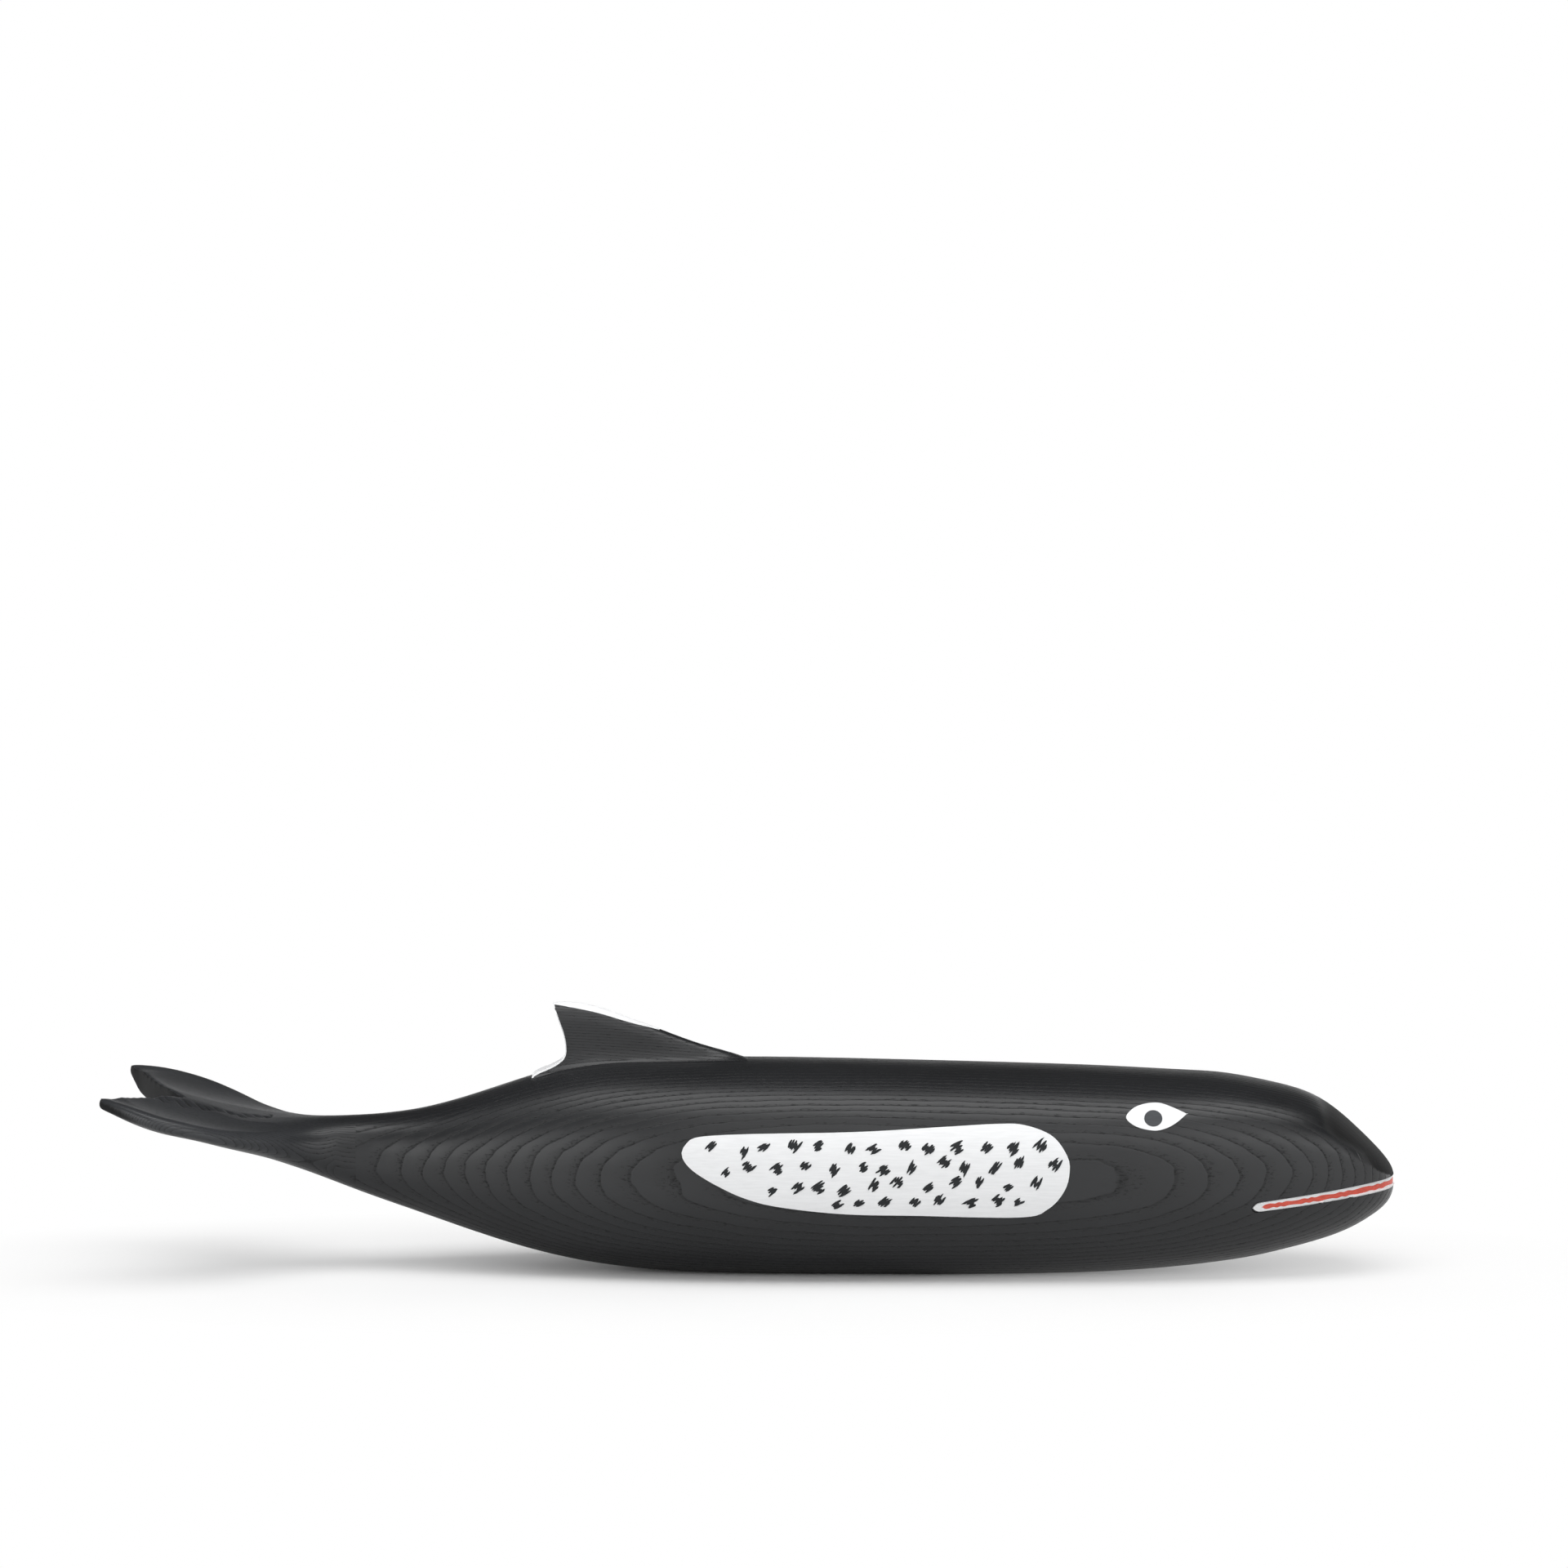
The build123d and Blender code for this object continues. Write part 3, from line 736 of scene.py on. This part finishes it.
class WHALE_OT_fin_edge(bpy.types.Operator):
    """Paint the thin edge of the dorsal fin from its heel over the tip"""

    bl_idname = "whale.fin_edge"
    bl_label = "Paint the fin's edge"

    def execute(self, context):
        sizes, colours = context.scene.whale_sizes, context.scene.whale_colours
        guide = wood_guide("dorsal_fin", "centre_board")
        white = brushed_paint("fin_white", colours.white, 0.05, 0.55)
        path = smooth_line(FIN_RIM, 220)
        across = (-1.0, -0.85, -0.6, -0.3, 0.0, 0.3, 0.6, 0.85, 1.0)
        deselect()
        bpy.ops.mesh.primitive_grid_add(x_subdivisions=len(path) - 1, y_subdivisions=len(across) + 3, size=2)
        stripe = bpy.context.object
        stripe.name = stripe.data.name = "fin_edge_stripe"
        rows = len(across) + 4
        for vertex in stripe.data.vertices:
            i = round((vertex.co.x + 1) / 2 * (len(path) - 1))
            j = round((vertex.co.y + 1) / 2 * (rows - 1))
            vertex.co = self.rim_point(guide, path, i, j, rows, across)
        # Where the stripe isn't turned down over the sides, its outer rows meet and are joined
        only(stripe)
        bpy.ops.object.mode_set(mode="EDIT")
        bpy.ops.mesh.select_all(action="SELECT")
        bpy.ops.mesh.remove_doubles(threshold=0.01 * MM)
        bpy.ops.object.mode_set(mode="OBJECT")
        coat(stripe, sizes.film)
        finish_paint(stripe, white)
        remove(guide)
        return {"FINISHED"}

    def rim_point(self, guide, path, i, j, rows, across):
        """Place of one point of the stripe: on the rim's face, or just round it on a side."""
        run = path[min(i + 1, len(path) - 1)].xy - path[max(i - 1, 0)].xy
        run.normalize()
        out = Vector((-run.y, 0, run.x))
        rim = self.rim_hit(guide, Vector((path[i].x, 0, path[i].y)) * MM, out)
        side = -1 if j < rows / 2 else 1
        inset = {0: 1.0, 1: 0.4}.get(min(j, rows - 1 - j))
        if inset is not None:
            return self.side_hit(guide, rim - out * (path[i].z * inset + 0.3) * MM, side)
        half = abs(self.side_hit(guide, rim - out * 0.3 * MM, side).y)
        return self.rim_hit(guide, rim + Vector((0, half * across[j - 2] * 0.97, 0)), out)

    def rim_hit(self, guide, start, out):
        """Where a ray from outside the rim meets the wood."""
        hit, place, _, _ = guide.ray_cast(start + out * 6 * MM, -out)
        if not hit:
            raise RuntimeError("the fin's stripe misses its rim")
        return place

    def side_hit(self, guide, start, side):
        """Where a ray from one side meets the wood."""
        hit, place, _, _ = guide.ray_cast(start + Vector((0, side * 0.1, 0)), Vector((0, -side, 0)))
        if not hit:
            raise RuntimeError("the fin's stripe reaches past the wood")
        return place


class WHALE_OT_stage(bpy.types.Operator):
    """Set the pale floor, the soft studio light and the camera"""

    bl_idname = "whale.stage"
    bl_label = "Set the stage"

    def execute(self, context):
        scene = context.scene
        scene.view_settings.view_transform = "Standard"
        self.floor()
        self.backdrop(scene)
        self.lamp("overhead", (0.1, -0.42, 1.5), (0.0, 0.0, 0.05), (2.0, 1.0), 17.5)
        self.lamp("front", (0.4, -2.0, 1.2), (0.0, 0.0, 0.05), (2.0, 1.3), 12.5)
        self.lamp("front_left", (-2.6, -2.4, 0.75), (0.0, 0.0, 0.05), (3.4, 1.4), 32)
        self.lamp("front_right", (2.6, -2.4, 0.75), (0.0, 0.0, 0.05), (3.4, 1.4), 26.5)
        self.lamp("rear_left", (-2.4, 2.6, 0.5), (0.0, 0.0, 0.05), (2.4, 0.9), 42)
        self.lamp("rear_right", (2.4, 2.6, 0.5), (0.0, 0.0, 0.05), (2.4, 0.9), 42)
        self.camera(scene)
        return {"FINISHED"}

    def floor(self):
        """A wide pale floor that keeps the shadow and shows white to the camera."""
        deselect()
        bpy.ops.mesh.primitive_plane_add(size=14)
        floor = bpy.context.object
        floor.name = "floor"
        material, tree, output = new_material("pale_floor")
        path = add_node(tree, "ShaderNodeLightPath")
        seen = add_node(tree, "ShaderNodeMath", {"operation": "MAXIMUM"},
                        links={0: path.outputs["Is Camera Ray"], 1: path.outputs["Is Glossy Ray"]})
        seen = add_node(tree, "ShaderNodeMath", {"operation": "MAXIMUM"},
                        links={0: seen.outputs[0], 1: path.outputs["Is Transmission Ray"]})
        dull = add_node(tree, "ShaderNodeBsdfDiffuse", inputs={"Color": (0.46, 0.46, 0.46, 1)})
        pale = add_node(tree, "ShaderNodeBsdfDiffuse", inputs={"Color": (0.97, 0.97, 0.97, 1)})
        glow = add_node(tree, "ShaderNodeEmission", inputs={"Color": (1, 1, 1, 1), "Strength": 1.0})
        place = add_node(tree, "ShaderNodeTexCoord").outputs["Object"]
        oval = add_node(tree, "ShaderNodeMapping", inputs={"Scale": (0.6, 1.5, 1)}, links={"Vector": place})
        away = add_node(tree, "ShaderNodeVectorMath", {"operation": "LENGTH"}, links={0: oval.outputs["Vector"]})
        fade = add_node(tree, "ShaderNodeMapRange", inputs={"From Min": 0.06, "From Max": 0.28},
                        links={"Value": away.outputs["Value"]})
        near = add_node(tree, "ShaderNodeMixShader",
                        links={0: path.outputs["Is Camera Ray"], 1: dull.outputs[0], 2: pale.outputs[0]})
        white = add_node(tree, "ShaderNodeMixShader",
                         links={0: fade.outputs["Result"], 1: near.outputs[0], 2: glow.outputs[0]})
        mix = add_node(tree, "ShaderNodeMixShader",
                       links={0: seen.outputs[0], 1: dull.outputs[0], 2: white.outputs[0]})
        tree.links.new(mix.outputs[0], output.inputs["Surface"])
        floor.data.materials.append(material)

    def backdrop(self, scene):
        """White behind the floor up to a little above eye level, and a dim room above it."""
        world = bpy.data.worlds.new("studio")
        scene.world = world
        world.use_nodes = True
        tree = world.node_tree
        tree.nodes.clear()
        view = add_node(tree, "ShaderNodeTexCoord").outputs["Generated"]
        up = add_node(tree, "ShaderNodeSeparateXYZ", links={"Vector": view}).outputs["Z"]
        rise = add_node(tree, "ShaderNodeMapRange", {"interpolation_type": "SMOOTHSTEP"},
                        {"From Min": 0.08, "From Max": 0.16, "To Min": 1.0, "To Max": 0.05}, {"Value": up})
        path = add_node(tree, "ShaderNodeLightPath")
        dome = add_node(tree, "ShaderNodeMath", {"operation": "MULTIPLY_ADD"}, {1: 0.2},
                        {0: path.outputs["Is Diffuse Ray"], 2: path.outputs["Is Camera Ray"]})
        white = add_node(tree, "ShaderNodeMath", {"operation": "MAXIMUM"},
                         links={0: rise.outputs["Result"], 1: dome.outputs[0]})
        room = add_node(tree, "ShaderNodeBackground", inputs={"Color": (1, 1, 1, 1)},
                        links={"Strength": white.outputs[0]})
        output = add_node(tree, "ShaderNodeOutputWorld")
        tree.links.new(room.outputs[0], output.inputs["Surface"])

    def lamp(self, name, place, aim, size, power):
        """A rectangular soft box that faces the figurine."""
        light = bpy.data.lights.new(name, "AREA")
        light.shape = "RECTANGLE"
        light.size, light.size_y = size
        light.energy = power
        lamp = bpy.data.objects.new(name, light)
        bpy.context.scene.collection.objects.link(lamp)
        lamp.location = place
        lamp.rotation_euler = (Vector(aim) - Vector(place)).to_track_quat("-Z", "Y").to_euler()

    def camera(self, scene):
        """Long lens, level with the flank and a little above it."""
        lens = bpy.data.cameras.new("camera")
        lens.sensor_width = 36
        lens.lens = 121.9
        camera = bpy.data.objects.new("camera", lens)
        scene.collection.objects.link(camera)
        camera.location = (0.0147, -2.595, 0.4522)
        camera.rotation_euler = (radians(90 - 4.68), 0, 0)
        scene.camera = camera


STEPS = (WHALE_OT_stain, WHALE_OT_fluke, WHALE_OT_patches, WHALE_OT_dabs, WHALE_OT_eyes, WHALE_OT_mouth, WHALE_OT_fin_edge,
         WHALE_OT_stage)


class WHALE_PT_panel(bpy.types.Panel):
    """Lists the steps that dress the whale"""

    bl_idname = "WHALE_PT_panel"
    bl_label = "Carved whale"
    bl_space_type = "VIEW_3D"
    bl_region_type = "UI"
    bl_category = "Whale"

    def draw(self, context):
        for group in (context.scene.whale_sizes, context.scene.whale_colours):
            for name in group.__annotations__:
                self.layout.prop(group, name)
        for step in STEPS:
            self.layout.operator(step.bl_idname)


CLASSES = (WhaleSizes, WhaleColours) + STEPS + (WHALE_PT_panel,)


def register():
    """Registers the classes and puts the settings on the scene."""
    for cls in CLASSES:
        bpy.utils.register_class(cls)
    bpy.types.Scene.whale_sizes = PointerProperty(type=WhaleSizes)
    bpy.types.Scene.whale_colours = PointerProperty(type=WhaleColours)


def unregister():
    """Takes the settings off the scene and unregisters the classes."""
    del bpy.types.Scene.whale_colours
    del bpy.types.Scene.whale_sizes
    for cls in reversed(CLASSES):
        bpy.utils.unregister_class(cls)


def main():
    """Dresses the whale step by step."""
    register()
    bpy.ops.whale.stain()
    bpy.ops.whale.fluke()
    bpy.ops.whale.patches()
    bpy.ops.whale.dabs()
    bpy.ops.whale.eyes()
    bpy.ops.whale.mouth()
    bpy.ops.whale.fin_edge()
    bpy.ops.whale.stage()


if __name__ == "__main__":
    main()
